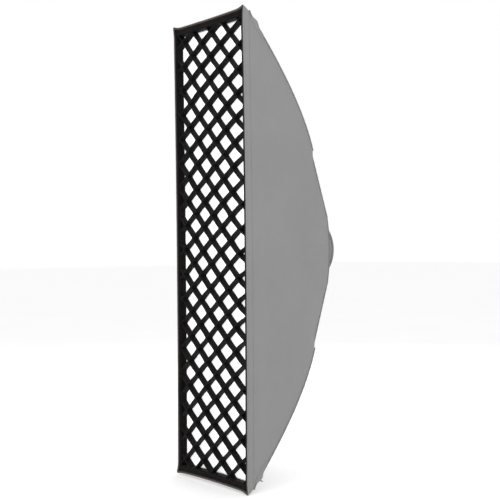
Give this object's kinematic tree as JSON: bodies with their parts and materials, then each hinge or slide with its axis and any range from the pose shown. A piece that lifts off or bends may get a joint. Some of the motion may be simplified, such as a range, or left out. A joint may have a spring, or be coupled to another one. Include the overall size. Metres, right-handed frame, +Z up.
{
  "type": "strip softbox",
  "caption": "Tall narrow folding softbox with a round bayonet ring, grey fabric sides, white diffuser and a black diamond grid.",
  "frame": {"origin": "centre of the object's box, on the optical axis halfway between the bayonet ring's rear face and the front lip", "axes": "+Z up along the long side, +Y back towards the lamp along the optical axis, the lit front faces -Y, +X to the right when looking along +Y"},
  "size_m": [0.3, 0.38, 1.2],
  "materials": {
    "bayonet_aluminium": "satin cast aluminium",
    "black_casting": "black powder coat",
    "steel": "zinc plated",
    "shaft_aluminium": "satin drawn aluminium",
    "black_plastic": "fine moulded texture",
    "red_plastic": "satin",
    "black_glassfibre": "satin pultruded rod",
    "black_rubber": "matte",
    "black_fabric": "matte woven tape",
    "grey_fabric": "matte coated weave",
    "white_fabric": "translucent white weave"
  },
  "bodies": {
    "bayonet": {"bayonet_ring": "bayonet_aluminium"},
    "frame": {"speed_ring": "black_casting", "retainer_ring": "black_casting", "retainer_screw_1": "steel", "retainer_screw_2": "steel", "retainer_screw_3": "steel", "retainer_screw_4": "steel", "spider_bridge": "black_casting", "bridge_screw_1": "steel", "bridge_screw_2": "steel", "shaft_tube": "shaft_aluminium", "shaft_nut": "steel", "shaft_end_cap": "black_plastic", "rib_bracket_ul": "black_plastic", "rib_bracket_ur": "black_plastic", "rib_bracket_ll": "black_plastic", "rib_bracket_lr": "black_plastic", "rib_hinge_pin_ul": "steel", "rib_hinge_pin_ur": "steel", "rib_hinge_pin_ll": "steel", "rib_hinge_pin_lr": "steel", "side_panel_left": "grey_fabric", "side_panel_right": "grey_fabric", "end_panel_top": "grey_fabric", "end_panel_bottom": "grey_fabric", "rear_cuff": "grey_fabric", "front_lip_band": "grey_fabric", "front_diffuser": "white_fabric", "inner_baffle": "white_fabric", "grid_lattice": "black_fabric", "grid_border": "black_fabric"},
    "rib_ul": {"rib_arm_ul": "shaft_aluminium", "rib_rod_ul": "black_glassfibre", "rod_tip_cap_ul": "black_rubber", "strut_pin_ul": "steel", "corner_pocket_ul": "black_fabric"},
    "rib_ur": {"rib_arm_ur": "shaft_aluminium", "rib_rod_ur": "black_glassfibre", "rod_tip_cap_ur": "black_rubber", "strut_pin_ur": "steel", "corner_pocket_ur": "black_fabric"},
    "rib_ll": {"rib_arm_ll": "shaft_aluminium", "rib_rod_ll": "black_glassfibre", "rod_tip_cap_ll": "black_rubber", "strut_pin_ll": "steel", "corner_pocket_ll": "black_fabric"},
    "rib_lr": {"rib_arm_lr": "shaft_aluminium", "rib_rod_lr": "black_glassfibre", "rod_tip_cap_lr": "black_rubber", "strut_pin_lr": "steel", "corner_pocket_lr": "black_fabric"},
    "strut_ul": {"strut_ul": "shaft_aluminium"},
    "strut_ur": {"strut_ur": "shaft_aluminium"},
    "strut_ll": {"strut_ll": "shaft_aluminium"},
    "strut_lr": {"strut_lr": "shaft_aluminium"},
    "runner": {"runner_hub": "black_plastic", "latch_spring": "steel"},
    "button": {"runner_button": "red_plastic"},
    "brake": {"brake_knob": "black_plastic"}
  },
  "joints": [
    {"name": "ring_rotation", "type": "hinge", "parent": "bayonet", "child": "frame", "pos_m": [0, 0.175, 0], "axis": [0, 1, 0], "continuous": true},
    {"name": "rib_fold_ul", "type": "hinge", "parent": "frame", "child": "rib_ul", "pos_m": [-0.05, 0.15, 0.085], "axis": [1, 0, 0], "range_deg": [0, 54], "deforming": ["side_panel_left", "side_panel_right", "end_panel_top", "end_panel_bottom", "front_lip_band", "front_diffuser", "inner_baffle", "grid_lattice", "grid_border"]},
    {"name": "rib_fold_ur", "type": "hinge", "parent": "frame", "child": "rib_ur", "pos_m": [0.05, 0.15, 0.085], "axis": [1, 0, 0], "range_deg": [0, 54]},
    {"name": "rib_fold_ll", "type": "hinge", "parent": "frame", "child": "rib_ll", "pos_m": [-0.05, 0.15, -0.085], "axis": [1, 0, 0], "range_deg": [-54, 0]},
    {"name": "rib_fold_lr", "type": "hinge", "parent": "frame", "child": "rib_lr", "pos_m": [0.05, 0.15, -0.085], "axis": [1, 0, 0], "range_deg": [-54, 0]},
    {"name": "strut_turn_ul", "type": "hinge", "parent": "rib_ul", "child": "strut_ul", "pos_m": [-0.0402, 0.13146, 0.14206], "axis": [1, 0, 0], "range_deg": [-89.87, 0]},
    {"name": "strut_turn_ur", "type": "hinge", "parent": "rib_ur", "child": "strut_ur", "pos_m": [0.0402, 0.13146, 0.14206], "axis": [1, 0, 0], "range_deg": [-89.87, 0]},
    {"name": "strut_turn_ll", "type": "hinge", "parent": "rib_ll", "child": "strut_ll", "pos_m": [-0.0402, 0.13146, -0.14206], "axis": [1, 0, 0], "range_deg": [0, 89.87]},
    {"name": "strut_turn_lr", "type": "hinge", "parent": "rib_lr", "child": "strut_lr", "pos_m": [0.0402, 0.13146, -0.14206], "axis": [1, 0, 0], "range_deg": [0, 89.87]},
    {"name": "runner_slide", "type": "slide", "parent": "frame", "child": "runner", "axis": [0, -1, 0], "range_m": [0, 0.0947]},
    {"name": "button_press", "type": "slide", "parent": "runner", "child": "button", "axis": [0, 0, -1], "range_m": [0, 0.002], "stiffness_N_per_m": 400, "springref_m": -0.001, "deforming": ["latch_spring"]},
    {"name": "brake_turn", "type": "hinge", "parent": "frame", "child": "brake", "pos_m": [-0.0825, 0.1745, 0], "axis": [-1, 0, 0], "range_deg": [0, 360]}
  ],
  "couplings": [
    {"joint": "rib_fold_ur", "follows": "rib_fold_ul", "ratio": 1},
    {"joint": "rib_fold_ll", "follows": "rib_fold_ul", "ratio": -1},
    {"joint": "rib_fold_lr", "follows": "rib_fold_ul", "ratio": -1},
    {"joint": "strut_turn_ul", "follows": "rib_fold_ul", "ratio": -1.6639},
    {"joint": "strut_turn_ur", "follows": "rib_fold_ul", "ratio": -1.6639},
    {"joint": "strut_turn_ll", "follows": "rib_fold_ul", "ratio": 1.6639},
    {"joint": "strut_turn_lr", "follows": "rib_fold_ul", "ratio": 1.6639},
    {"joint": "runner_slide", "follows": "rib_fold_ul", "m_per_rad": 0.10046}
  ]
}
